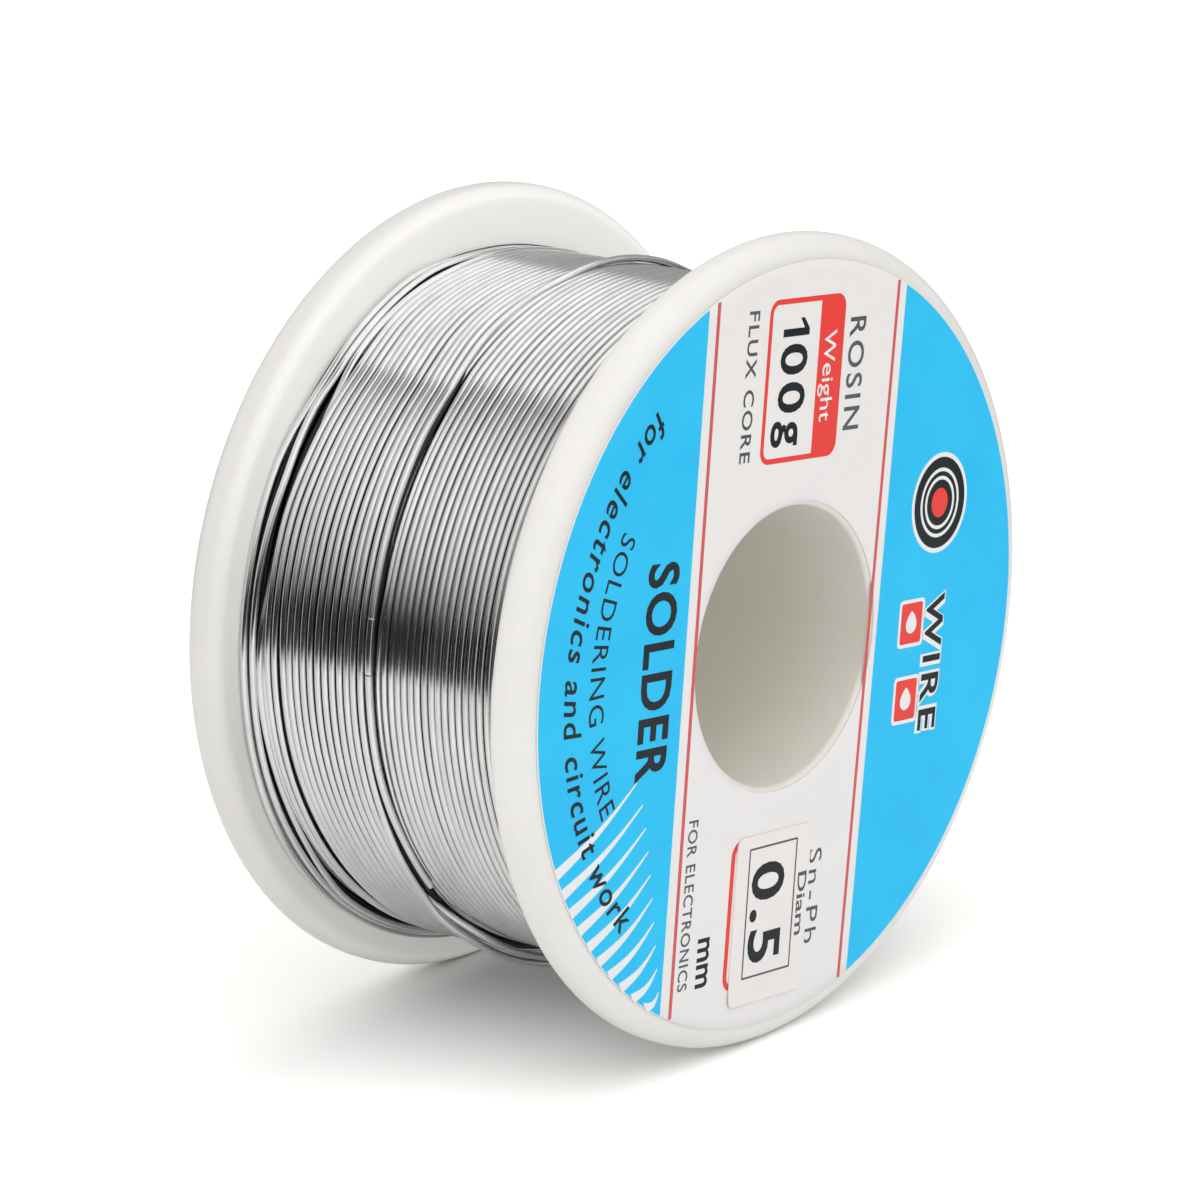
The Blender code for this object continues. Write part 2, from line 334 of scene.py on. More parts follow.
def plastic(name, base, warm, rough=0.34, bore_shade=None, painted_glow=None):
    """Smooth moulded polystyrene: faint flow mottling, soft sheen, fine scuffs. It can also take
    painted shade in the bore and a painted glow.
    """
    material, tree, bsdf = new_material(name)
    vector = coords(tree)
    flow = noise(tree, vector, scale=90.0, detail=3.0)
    fine = noise(tree, vector, scale=2600.0, detail=4.0, rough=0.6)
    scuff = noise(tree, coords(tree, scale=(1.0, 7.0, 1.0)), scale=900.0, detail=6.0, rough=0.7)
    tone = mix_rgb(tree, remap(tree, flow, span=(0.35, 0.65)), base, warm)
    if bore_shade:
        tone = paint_bore_shade(tree, vector, tone, bore_shade)
    sheen = remap(tree, flow, span=(0.3, 0.7), to=(rough - 0.05, rough + 0.06))
    scuffed = remap(tree, scuff, span=(0.62, 0.75), to=(0.0, 0.14))
    feed(tree, bsdf, {
        "Base Color": tone, "Roughness": calc(tree, "ADD", sheen, scuffed),
        "Subsurface Weight": 0.22, "Subsurface Radius": (1.0, 0.85, 0.7),
        "Subsurface Scale": 0.0009, "IOR": 1.5})
    grain = bump(tree, bsdf, fine, distance=0.000006, strength=0.6)
    bump(tree, bsdf, flow, distance=0.00006, strength=0.5, under=grain)
    if painted_glow:
        paint_flange_glow(tree, bsdf, vector, painted_glow)
    return material


def solder(name, base, rough):
    """Drawn tin-lead wire: fine lines along its length, faint dull patches."""
    material, tree, bsdf = new_material(name)
    along = coords(tree, scale=(0.35, 14.0, 1.0), source="UV")
    lines = noise(tree, along, scale=1.0, detail=5.0, rough=0.65)
    patch = noise(tree, coords(tree, scale=(0.22, 0.8, 1.0), source="UV"),
                  scale=1.0, detail=3.0, rough=0.6)
    dull = tuple(c * 0.86 for c in base)
    feed(tree, bsdf, {
        "Base Color": mix_rgb(tree, remap(tree, patch, span=(0.35, 0.7)), base, dull),
        "Roughness": remap(tree, patch, span=(0.3, 0.75), to=(rough, rough + 0.07)),
        "Metallic": 1.0})
    bump(tree, bsdf, lines, distance=0.000004, strength=0.55)
    return material


def vinyl(name, base, mottle, rough, gloss=0.4):
    """Printed vinyl: ink with faint mottling over a coated, slightly uneven face."""
    material, tree, bsdf = new_material(name)
    vector = coords(tree)
    patch = noise(tree, vector, scale=160.0, detail=5.0, rough=0.6)
    grain = noise(tree, vector, scale=3800.0, detail=3.0, rough=0.6)
    wave = noise(tree, vector, scale=55.0, detail=2.0, rough=0.5)
    feed(tree, bsdf, {
        "Base Color": mix_rgb(tree, remap(tree, patch, span=(0.3, 0.7)), base, mottle),
        "Roughness": remap(tree, patch, span=(0.3, 0.7), to=(rough - 0.05, rough + 0.07)),
        "Specular IOR Level": gloss * 0.5})
    fine = bump(tree, bsdf, grain, distance=0.000004, strength=0.5)
    bump(tree, bsdf, wave, distance=0.00006, strength=0.35, under=fine)
    return material


def rosin(name):
    material, tree, bsdf = new_material(name)
    grain = noise(tree, coords(tree), scale=9000.0, detail=3.0)
    feed(tree, bsdf, {
        "Base Color": mix_rgb(tree, grain, (0.50, 0.24, 0.05), (0.70, 0.42, 0.12)),
        "Roughness": 0.22, "Subsurface Weight": 0.4, "Subsurface Scale": 0.0002})
    return material


# the bore colour is painted shade: the plastic painted darker inside the bore
PLASTIC = plastic("spool_plastic", base=(0.800, 0.790, 0.768), warm=(0.775, 0.764, 0.738),
                  bore_shade=(0.722, 0.698, 0.638))
# the rear flange's plastic: a darker copy of the front one as painted shade, with a painted glow
REAR_PLASTIC_SHADED_GLOWING = plastic(
    "spool_plastic_rear_painted_shade_glow", base=(0.728, 0.719, 0.700), warm=(0.705, 0.695, 0.672),
    painted_glow=[(-0.0265, 0.24), (-0.016, 0.08), (-0.006, 0.03), (0.006, 0.11), (0.016, 0.24),
          (0.0268, 0.28)])
DRUM = plastic("drum_plastic", base=(0.78, 0.77, 0.74), warm=(0.74, 0.73, 0.70), rough=0.42)
SOLDER = solder("solder", base=(0.84, 0.84, 0.843), rough=0.10)
# near-black solder: painted shade for the turns that show only deep in the gaps
SOLDER_PAINTED_SHADE = solder("solder_painted_shade", base=(0.05, 0.05, 0.051), rough=0.3)
LABEL = vinyl("label_vinyl", base=(0.815, 0.795, 0.785), mottle=(0.790, 0.775, 0.770), rough=0.40)
BLUE = vinyl("ink_blue", base=(0.020, 0.500, 0.890), mottle=(0.028, 0.555, 0.905), rough=0.38,
             gloss=0.25)
RED = vinyl("ink_red", base=(0.84, 0.050, 0.040), mottle=(0.78, 0.060, 0.045), rough=0.38)
LINE_RED = vinyl("ink_line_red", base=(0.68, 0.105, 0.110), mottle=(0.60, 0.10, 0.105), rough=0.40)
BLACK = vinyl("ink_black", base=(0.012, 0.016, 0.020), mottle=(0.020, 0.026, 0.030), rough=0.42,
              gloss=0.3)
GREY = vinyl("ink_grey", base=(0.080, 0.085, 0.090), mottle=(0.12, 0.125, 0.13), rough=0.42,
             gloss=0.3)
WHITE = vinyl("ink_white", base=(0.82, 0.83, 0.83), mottle=(0.78, 0.80, 0.81), rough=0.40)
STICKER = vinyl("sticker_paper", base=(0.830, 0.790, 0.780), mottle=(0.805, 0.775, 0.765),
                rough=0.48, gloss=0.3)
ROSIN = rosin("rosin")

# =================================================================== mouldings
# Both outlines: (r, y, fillet)
FRONT_OUTLINE = [
    (BORE_R, HALF_W - 1.2, 0.15), (11.3, HALF_W - 1.2, 0.2), (11.3, -FACE_IN, 0.3),
    (SPIGOT_IN_R, -FACE_IN, 0), (SPIGOT_IN_R, -SPIGOT_END, 0.2), (SPIGOT_R, -SPIGOT_END, 0.2),
    (SPIGOT_R, -FACE_IN, 0), (FLANGE_R, -FACE_IN, 1.15), (FLANGE_R, -HALF_W, 1.45),
    (BORE_R, -HALF_W, 0.35)]
# the rear face carries a shallow sunk ring between radii 12.2 and 25.25
REAR_OUTLINE = [
    (BORE_R, HALF_W, 0.4), (12.2, HALF_W, 0.12), (12.45, HALF_W - 0.12, 0.12),
    (25.0, HALF_W - 0.12, 0.12), (25.25, HALF_W, 0.12), (FLANGE_R, HALF_W, 1.45),
    (FLANGE_R, FACE_IN, 1.15), (SPIGOT_R, FACE_IN, 0), (SPIGOT_R, SPIGOT_END, 0.2),
    (SPIGOT_IN_R, SPIGOT_END, 0.2), (SPIGOT_IN_R, FACE_IN, 0), (11.6, FACE_IN, 0.2),
    (11.6, HALF_W - 0.9, 0), (BORE_R, HALF_W - 0.9, 0.1)]
add("spool_front_flange", lathe("spool_front_flange", fillets(FRONT_OUTLINE, steps=10), 288),
    PLASTIC, replaces=("front_flange",))
add("spool_rear_flange", lathe("spool_rear_flange", fillets(REAR_OUTLINE, steps=8), 288),
    REAR_PLASTIC_SHADED_GLOWING, replaces=("rear_flange",))

# two CAD pieces stay as they are and only get a material
for piece, material in (("winding_drum", DRUM), ("wire_start_end", SOLDER)):
    slots = frame["nodes"][piece].data.materials
    slots.clear()
    slots.append(material)


# ===================================================================== winding
def wrap(deg):
    return (np.asarray(deg, float) + 180.0) % 360.0 - 180.0


def ease(x, start, end):
    t = np.clip((np.asarray(x, float) - start) / (end - start), 0, 1)
    return t * t * (3 - 2 * t)


def window(x, rise, fall):
    """0 outside, 1 between the rise and the fall, eased over each (start, end)."""
    return ease(x, *rise) * (1 - ease(x, *fall))


def curve(x, table):
    """Smooth curve without overshoot through (place, value) points, flat beyond both ends."""
    px, py = np.array(table, float).T
    step = np.diff(px)
    slope = np.diff(py) / step
    tangent = np.zeros(len(px))
    for i in range(1, len(px) - 1):
        if slope[i - 1] * slope[i] > 0:
            w1, w2 = 2 * step[i] + step[i - 1], step[i] + 2 * step[i - 1]
            tangent[i] = (w1 + w2) / (w1 / slope[i - 1] + w2 / slope[i])
    x = np.clip(np.asarray(x, float), px[0], px[-1])
    i = np.clip(np.searchsorted(px, x, side="right") - 1, 0, len(px) - 2)
    s = (x - px[i]) / step[i]
    return (py[i] * (1 + 2 * s) * (1 - s) ** 2 + tangent[i] * step[i] * s * (1 - s) ** 2
            + py[i + 1] * s * s * (3 - 2 * s) + tangent[i + 1] * step[i] * s * s * (s - 1))


# Tables round the winding, as (degrees, mm) points.
# edge of the partial layer along the axis, above 20 degrees
EDGE = [
    (20, 0.81), (37, 0.83), (48, 0.78), (54, 0.96), (60, 1.23), (66, 1.35), (72, 1.28),
    (78, 1.15), (84, 1.06), (92, 1.05), (100, 0.93), (107, 0.71), (114, 0.63), (130, 0.68),
    (155, 0.84), (180, 0.956)]
# pitch of the partial layer
PARTIAL_PITCH = [
    (-180, 0.605), (-130, 0.58), (-90, 0.56), (-60, 0.562), (-35, 0.59), (-8, 0.622), (10, 0.625),
    (22, 0.620), (34, 0.592), (46, 0.574), (60, 0.556), (75, 0.545), (95, 0.545), (130, 0.58),
    (180, 0.605)]
# radius of the partial layer, which sinks level over the top
PARTIAL_R = [
    (-180, 24.1), (30, 24.1), (45, 24.0), (60, 23.82), (70, 23.65), (80, 23.42), (92, 23.17),
    (104, 23.10), (112, 23.2), (120, 23.42), (132, 23.8), (146, 24.05), (180, 24.1)]
# radius of the partial layer's last half turn
LAST_R = [
    (-180, 24.1), (40, 24.1), (50, 23.97), (60, 23.78), (70, 23.62), (80, 23.62), (88, 23.70),
    (97, 23.80), (105, 23.74), (115, 23.52), (135, 23.6), (155, 24.0), (180, 24.1)]
# radius of the full-width layer where it is bare
FULL_R = [
    (-180, 23.25), (60, 23.28), (90, 23.24), (105, 23.21), (120, 23.22), (150, 23.25),
    (180, 23.25)]
FULL_PITCH = 0.577


def edge_y(deg):
    """Where the partial layer's edge runs along the axis, as it goes round."""
    d = wrap(deg)
    low = (0.93 + 0.30 * np.cos(np.radians(d - 95.0))
           - 0.20 * np.exp(-((d - 22.0) / 28.0) ** 2))
    return np.where(d > 20.0, curve(d, EDGE), low)


def partial_pitch(deg):
    return curve(wrap(deg), PARTIAL_PITCH)


def partial_r(deg):
    return curve(wrap(deg), PARTIAL_R)


def add_strand(name, path, sides, material=SOLDER, replaces=()):
    add(name, strand(name, *path, sides=sides), material, replaces=replaces)


def add_buried_layers():
    """One solid with a ridge for each turn, seen only in the gaps, coloured near black as painted
    shade.
    """
    foot_r, end_y, ridge_half = 18.8, FACE_IN - 0.25, 0.28
    ridges = []
    for k in range(int(2 * (FACE_IN - 0.3) / FULL_PITCH)):
        middle = -end_y + (k + 0.5) * FULL_PITCH
        top_r = 22.75 if middle < 1.0 else 21.9
        for tilt in np.linspace(-80, 80, 5):
            a = math.radians(tilt)
            ridges.append((top_r - WIRE_R + WIRE_R * math.cos(a),
                           middle + ridge_half * math.sin(a)))
    outline = [(foot_r, end_y), *reversed(ridges), (foot_r, -end_y)]
    add("winding_buried_layers", lathe("winding_buried_layers", outline, 144, 180), SOLDER_PAINTED_SHADE,
        replaces=("wire_inner_layers",))


def add_full_layer():
    """Last full-width layer, wound towards +Y with the angle falling, in two lengths."""
    margin = 0.28            # first and last turn's centre from the flange
    bare_turns = 22.96       # the rest lies under the partial layer
    t = np.arange(0, (2 * FACE_IN - 2 * margin) / FULL_PITCH, 1.0 / PER_TURN)
    deg = -360.0 * t + 40.0
    d = wrap(deg)
    y = -FACE_IN + margin + FULL_PITCH * t
    y = y + waves(t, amp=0.020, cycles=1.3, seed=1) + waves(t / 9.0, amp=0.03, cycles=1.0, seed=2)
    # the turns near the partial layer's edge shift towards -Y just above the free end
    y = y - 0.17 * window(d, (2, 18), (44, 56)) * ease(y, 0.35, 0.8)
    covered = ease(y, 1.45, 2.2)
    r = (curve(d, FULL_R) * (1 - covered) + (partial_r(deg) - 0.86) * covered
         + waves(t, amp=0.012, cycles=1.7, seed=3))
    y = np.clip(y, -FACE_IN + 0.26, FACE_IN - 0.26)
    bare = t < bare_turns
    add_strand("winding_main_layer", (r[bare], deg[bare], y[bare]), sides=12,
               replaces=("wire_main_layer",))
    # the covered turns are coloured near black as painted shade
    add_strand("winding_main_layer_covered", (r[~bare], deg[~bare], y[~bare]), sides=8,
               material=SOLDER_PAINTED_SHADE)


def add_second_layer():
    """The layer below the partial one's top turns, coloured near black as painted shade."""
    t = np.arange(0, 17.7, 1.0 / PER_TURN)
    deg = -360.0 * t + 160.0
    d = wrap(deg)
    y = edge_y(deg) + 0.05 + 0.61 * t + 0.40 * ease(d, 44, 56) * (1 - ease(t, 0.35, 0.45))
    # the first turn is held back under the edge in three places
    y = y + (0.12 * window(d, (14, 24), (44, 52)) + 0.28 * window(d, (-24, -12), (6, 16))
             + 0.55 * window(-d, (36, 46), (130, 165))) * (t < 0.95)
    y = np.minimum(y, FACE_IN - 0.27) + waves(t, amp=0.02, cycles=1.1, seed=5)
    y = np.minimum(y, FACE_IN - 0.26)
    r = (partial_r(deg) - 0.42 + waves(t, amp=0.012, cycles=1.3, seed=6)
         + 0.5 * ease(t, 16.35, 16.6))
    add_strand("winding_second_layer", (r, deg, y), sides=10, material=SOLDER_PAINTED_SHADE)


def partial_path(t):
    """Last, partial layer: t counts turns back from where the free end starts."""
    t = np.asarray(t, float)
    deg = TAIL_ROOT + 360.0 * t
    d = wrap(deg)
    y = edge_y(deg) + WIRE_R + 0.02 + partial_pitch(deg) * t
    y = y + waves(t, amp=0.022, cycles=1.2, seed=8) * np.clip(t - 0.2, 0, 1)
    y = y + waves(t / 7.0, amp=0.05, cycles=1.0, seed=9) * np.clip(t / 2 - 0.4, 0, 1)
    r = np.where(t < 0.5, curve(d, LAST_R), partial_r(deg))
    r = r + waves(t, amp=0.014, cycles=1.6, seed=10) * np.clip(t * 2 - 0.4, 0, 1)
    # low on the -X side the edge turn stands proud, then it and the next sag clear of the rest
    low, under, swing = (window(-d, rise, (120, 170)) for rise in ((20, 36), (39, 48), (42, 57)))
    turn = np.floor(t + 0.5)
    y = y + np.select([turn == 1, turn == 2, turn == 3, turn > 3],
                      [-0.25 * low - 0.80 * swing, -0.30 * low - 0.15 * under - 1.70 * swing,
                       -0.30 * low - 0.30 * swing, -0.25 * low * np.exp(-(turn - 4) / 3.0)], 0.0)
    r = r + np.select([turn == 1, turn == 2], [0.35 * low + 0.30 * under, 0.10 * swing], 0.0)
    # the last two turns keep beside the rear flange, leaving a dark gap at their foot
    foot = window(-d, (-14, 4), (75, 140))
    y = y + (turn >= 13) * (0.04 + 0.42 * ease(-d, 2, 45)) * foot
    y = y - (turn == 12) * 0.10 * foot
    return r, deg, y


def add_partial_layer():
    """The partial layer in two lengths: its last turn, and the turns before."""
    joint = 300.0 / 360.0
    t = np.append(np.arange(0.0022, joint, 1.0 / PER_TURN), joint)
    add_strand("winding_last_turn", partial_path(t), sides=14, replaces=("wire_last_turn",))
    t = np.arange(joint - 0.004, 14.5, 1.0 / PER_TURN)
    add_strand("winding_upper_layer", partial_path(t), sides=12, replaces=("wire_upper_layer",))


add_buried_layers()
add_full_layer()
add_second_layer()
add_partial_layer()

# Four loose turns on from there, crossing to the rear flange and climbing beside it.
# Each turn: (degrees, axial place) points, then (degrees, radius) points.
start_r, _, start_y = (float(v[0]) for v in partial_path(np.array([14.499])))
LOOSE_TURNS = [
    ([(-180, start_y), (-120, 9.95), (-60, 9.80), (-45, 9.85), (-10, 10.12), (10, 10.15),
      (40, 9.9), (60, 9.5), (80, 9.15), (110, 9.2), (150, 9.8), (180, 10.1)],
     [(-180, start_r), (-160, 24.1), (-60, 23.95), (-40, 23.95), (-10, 24.1), (8, 23.75),
      (20, 23.45), (45, 23.5), (60, 23.5), (75, 23.3), (92, 22.9), (118, 22.9), (150, 23.5),
      (180, 23.9)]),
    ([(-180, 10.1), (-120, 10.35), (-60, 10.48), (-45, 10.5), (-24, 10.46), (-6, 10.48),
      (6, 10.42), (25, 10.1), (38, 9.7), (44, 9.6), (50, 9.78), (57, 9.85), (64, 9.78),
      (71, 9.63), (78, 9.46), (90, 9.4), (110, 9.5), (140, 9.9), (180, 10.4)],
     [(-180, 23.9), (-120, 24.3), (-60, 24.6), (-50, 24.64), (-42, 24.44), (-34, 24.22),
      (-24, 24.16), (-6, 24.25), (3, 24.13), (12, 23.75), (30, 23.55), (38, 23.75), (44, 23.96),
      (50, 24.06), (60, 24.02), (70, 23.9), (80, 23.63), (92, 23.35), (104, 23.2), (118, 23.3),
      (140, 23.8), (165, 24.05), (180, 24.15)]),
    ([(-180, 10.4), (-120, 10.7), (-60, 10.8), (-24, 10.87), (-6, 10.85), (5, 10.75),
      (12, 10.66), (23, 10.40), (30, 10.22), (36, 10.32), (41, 10.40), (47, 10.22), (53, 10.32),
      (62, 10.38), (74, 10.42), (80, 10.34), (95, 10.25), (120, 10.4), (150, 10.7),
      (180, 11.0)],
     [(-180, 24.15), (-120, 24.5), (-90, 24.6), (-60, 24.8), (-46, 24.84), (-36, 24.76),
      (-24, 24.72), (-12, 24.62), (-3, 24.52), (5, 24.56), (15, 24.64), (30, 24.68),
      (42, 24.45), (55, 24.22), (66, 24.1), (74, 23.95), (82, 23.6), (92, 23.3), (104, 23.15),
      (118, 23.25), (140, 23.8), (165, 24.2), (180, 24.4)]),
    ([(-180, 11.0), (-150, 11.15), (-120, 11.2), (20, 11.21), (34, 11.12), (46, 10.86),
      (58, 10.95), (110, 10.98), (150, 11.1), (180, 11.2)],
     [(-180, 24.4), (-120, 24.9), (-90, 25.1), (-55, 25.1), (-45, 25.2), (-35, 25.24),
      (-25, 25.22), (-15, 25.12), (-6, 24.98), (5, 24.92), (15, 24.86), (30, 24.82),
      (36, 24.64), (42, 24.42), (52, 24.28), (62, 24.25), (70, 24.2), (76, 23.87), (83, 23.45),
      (93, 23.2), (104, 23.1), (118, 23.1), (150, 23.2), (180, 23.2)]),
]


def add_loose_turns():
    t = np.arange(0, 3.995, 1.0 / PER_TURN)
    deg = -180.0 + 360.0 * (t % 1.0)
    turn = np.floor(t).astype(int)
    y = np.choose(turn, [curve(deg, axial) for axial, _ in LOOSE_TURNS])
    r = np.choose(turn, [curve(deg, radial) for _, radial in LOOSE_TURNS])
    y = np.minimum(y + waves(t, amp=0.02, cycles=1.4, seed=12), FACE_IN - 0.27)
    add_strand("winding_loose_turns", (r, deg, y), sides=12, replaces=("wire_crossover_turns",))


add_loose_turns()


# ============================================================ the free end (tail)
TAIL_START = TAIL_ROOT + 0.8
TAIL_HALF = TAIL_STEP / 2
TAIL_END = TAIL_ROOT - 3 * TAIL_STEP - 1.5    # the cut end reaches a little past three steps
# Pieces in hinge order: name, first and last degrees, rings, recess in the end (share of the
# wire's radius), body above and below, blend start and end (mm below the hinge), CAD piece
TAIL_PIECES = [
    ("tail_start", TAIL_START, TAIL_ROOT - TAIL_HALF, 46, 0.0,
     "spool", "tail_root", -0.25, 1.6, "wire_tail_root"),
    ("tail_middle_length", TAIL_ROOT - TAIL_HALF, TAIL_ROOT - TAIL_STEP - TAIL_HALF, 60, 0.0,
     "tail_root", "tail_middle", -1.3, 1.3, "wire_tail_middle"),
    ("tail_cut_end", TAIL_ROOT - TAIL_STEP - TAIL_HALF, TAIL_END, 88, 0.36,
     "tail_middle", "tail_tip", -1.3, 1.3, "wire_tail_tip"),
]


def tail_path(deg):
    """The free end lies in the groove between the two halves of the winding."""
    deg = np.asarray(deg, float)
    sunk = 0.3 * ease(-deg, -8, 6) + 0.7 * ease(-deg, 12, 32)
    y = (edge_y(deg) + WIRE_R + 0.02 + partial_pitch(deg) * (deg - TAIL_ROOT) / 360.0
         - 0.10 * sunk)
    return TURN_R - 0.28 * sunk, deg, y


def add_tail():
    for hinge, (name, first, last, rings, core, above, below, blend_start, blend_end,
                cad_piece) in enumerate(TAIL_PIECES):
        mesh = strand(name, *tail_path(np.linspace(first, last, rings)), sides=16,
                      dome=(0.02, 0.12 if core else 0.02), core=core,
                      lead=TURN_R * math.radians(TAIL_START - first))
        obj = add(name, mesh, SOLDER, body=None, replaces=(cad_piece,))
        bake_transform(obj)
    # flux core, seen as an amber dot in the cut end
    deg = np.linspace(TAIL_END + 1.6, TAIL_END + 0.07, 8)
    mesh = strand("tail_flux_core", *tail_path(deg), sides=12, wire_r=0.085, dome=(0.5, 0.5))
    add("tail_flux_core", mesh, ROSIN, body="tail_tip", replaces=("flux_core",))


add_tail()

# ================================================================ printing tools
# Flat shapes are drawn in (x, z) mm. Seen from -Y, +X is right and +Z is up.
LABEL_TILT = math.radians(6.2)        # the label is stuck on a little turned
COAT = 0.006                          # thickness of one coat of ink
INK_FOOT = -0.012                     # ink solids start this far below the printed face
PRINT_R = LABEL_OUT_R - 0.04          # printing stops just inside the label's rim


class Ink:
    """Collects thin printed shapes of one ink into one mesh of closed solids.

    level is the printed face's distance from the origin; heights are in coats of ink.
    """

    def __init__(self, name, material, slot="label_vinyl", level=LABEL_TOP):
        self.name, self.material, self.slot, self.level = name, material, slot, level
        self.bm = bmesh.new()

    def prism(self, outline, coats=1):
        """A filled polygon with the given closed outline."""
        top, foot = ([self.bm.verts.new((x * MM, -(self.level + height) * MM, z * MM))
                      for x, z in outline] for height in (coats * COAT, INK_FOOT))
        self.bm.faces.new(top)
        self.bm.faces.new(list(reversed(foot)))
        for i in range(len(outline)):
            j = (i + 1) % len(outline)
            self.bm.faces.new((top[j], top[i], foot[i], foot[j]))

    def mesh(self, mesh, coats=1):
        """Take in a mesh whose x, y are the print's (x, z) in mm and whose z is 0..1."""
        rise = coats * COAT - INK_FOOT
        verts = [self.bm.verts.new((x * MM, -(self.level + INK_FOOT + rise * z) * MM, y * MM))
                 for x, y, z in (v.co for v in mesh.vertices)]
        for polygon in mesh.polygons:
            # merged glyph points may leave two faces on the same corners; the second is skipped
            try:
                self.bm.faces.new([verts[i] for i in polygon.vertices])
            except ValueError:
                pass
        bpy.data.meshes.remove(mesh)

    def done(self):
        wide = [f for f in self.bm.faces if len(f.verts) > 4]
        bmesh.ops.triangulate(self.bm, faces=wide)
        bmesh.ops.recalc_face_normals(self.bm, faces=self.bm.faces)
        mesh = bpy.data.meshes.new(self.name)
        self.bm.to_mesh(mesh)
        self.bm.free()
        add(self.name, mesh, self.material)


def reading_axes(tilt):
    """Reading direction (down the label) and the letters' up direction, in (x, z)."""
    return (np.array([-math.sin(tilt), -math.cos(tilt)]),
            np.array([math.cos(tilt), -math.sin(tilt)]))


def rounded_rect(width, height, radius, steps=6):
    """Outline centred on the origin."""
    out = []
    right, top = width / 2 - radius, height / 2 - radius
    for cx, cy, first in ((right, top, 0), (-right, top, 90), (-right, -top, 180),
                          (right, -top, 270)):
        for k in range(steps + 1):
            a = math.radians(first + 90 * k / steps)
            out.append((cx + radius * math.cos(a), cy + radius * math.sin(a)))
    return out


def oval(centre, radius_x, radius_z, count):
    return [(centre[0] + radius_x * math.cos(a), centre[1] + radius_z * math.sin(a))
            for a in np.linspace(0, TAU, count, endpoint=False)]


def place(points, centre, tilt=LABEL_TILT):
    """Turn local points by the tilt and move them to a centre."""
    c, s = math.cos(-tilt), math.sin(-tilt)
    return [(centre[0] + c * x - s * y, centre[1] + s * x + c * y) for x, y in points]


def band_mesh(outer, inner):
    """Closed band between two outlines of equal length; z is 0..1."""
    m = len(outer)
    points = [(*p, z) for z in (1.0, 0.0) for loop in (outer, inner) for p in loop]
    faces = []
    for i in range(m):
        j = (i + 1) % m
        faces += [(i, j, m + j, m + i), (2 * m + j, 2 * m + i, 3 * m + i, 3 * m + j),
                  (j, i, 2 * m + i, 2 * m + j), (m + i, m + j, 3 * m + j, 3 * m + i)]
    mesh = bpy.data.meshes.new("band")
    mesh.from_pydata(points, [], faces)
    return mesh


def frame_mesh(width, height, radius, line, centre, tilt=LABEL_TILT, steps=6):
    outer = rounded_rect(width, height, radius, steps)
    inner = rounded_rect(width - 2 * line, height - 2 * line, max(radius - line, 0.02), steps)
    return band_mesh(place(outer, centre, tilt), place(inner, centre, tilt))


def coordinates(mesh):
    return np.array([v.co for v in mesh.vertices])


def set_coordinates(mesh, points):
    mesh.vertices.foreach_set("co", points.astype(np.float32).ravel())


def glyphs(body, height, length, bold=0.0, slant=0.0, spacing=1.0):
    """Text as a mesh whose tallest letter is height high and whose line is length long."""
    text = bpy.data.curves.new("text", "FONT")
    text.body = body
    text.size = 1.0
    text.offset = bold
    text.extrude = 0.5
    text.space_character = spacing
    text.resolution_u = 4
    obj = bpy.data.objects.new("text", text)
    scene.collection.objects.link(obj)
    depsgraph = bpy.context.evaluated_depsgraph_get()
    mesh = bpy.data.meshes.new_from_object(obj.evaluated_get(depsgraph))
    bpy.data.objects.remove(obj)
    bm = bmesh.new()
    bm.from_mesh(mesh)
    bmesh.ops.remove_doubles(bm, verts=bm.verts, dist=1e-5)
    bm.to_mesh(mesh)
    bm.free()
    co = coordinates(mesh)
    low, high = co.min(0), co.max(0)
    co[:, 0] = (co[:, 0] - low[0]) / (high[0] - low[0]) * length
    co[:, 1] = co[:, 1] / high[1] * height
    co[:, 0] += slant * co[:, 1]
    co[:, 2] = co[:, 2] + 0.5
    set_coordinates(mesh, co)
    return mesh


def line_text(ink, body, height, length, centre, coats=1, tilt=LABEL_TILT, **style):
    """Text that reads downwards along the label, centred on a point."""
    mesh = glyphs(body, height, length, **style)
    co = coordinates(mesh)
    down, up = reading_axes(tilt)
    xz = np.array(centre) + (co[:, :1] - length / 2) * down + (co[:, 1:2] - height / 2) * up
    set_coordinates(mesh, np.column_stack([xz, co[:, 2]]))
    ink.mesh(mesh, coats)


def arc_text(ink, body, height, radius, start, end, coats, **style):
    """Text round the bore, tops towards the centre, read from start to end degrees."""
    mid = radius - height / 2
    mesh = glyphs(body, height, math.radians(end - start) * mid, **style)
    co = coordinates(mesh)
    a = math.radians(start) + co[:, 0] / mid
    r = radius - co[:, 1]
    set_coordinates(mesh, np.column_stack([r * np.cos(a), r * np.sin(a), co[:, 2]]))
    ink.mesh(mesh, coats)


# ======================================================================= label
def add_label_disc():
    back, face, bevel = -(LABEL_TOP - 0.1), -LABEL_TOP, 0.03
    radii = np.linspace(LABEL_IN_R + bevel, LABEL_OUT_R - bevel, 22)
    outline = [(LABEL_OUT_R, back), (LABEL_OUT_R, face + bevel), *((r, face) for r in radii[::-1]),
               (LABEL_IN_R, face + bevel), (LABEL_IN_R, back), *((r, back) for r in radii)]
    add("label_vinyl_disc", lathe("label_vinyl_disc", outline, 288, 50), LABEL,
        replaces=("label_disc",))


def chord(x0, slope, radius):
    """Lowest and highest z of the line x = x0 + slope * z inside a circle."""
    a, b, c = 1 + slope * slope, 2 * slope * x0, x0 * x0 - radius * radius
    root = math.sqrt(b * b - 4 * a * c)
    return (-b - root) / (2 * a), (-b + root) / (2 * a)


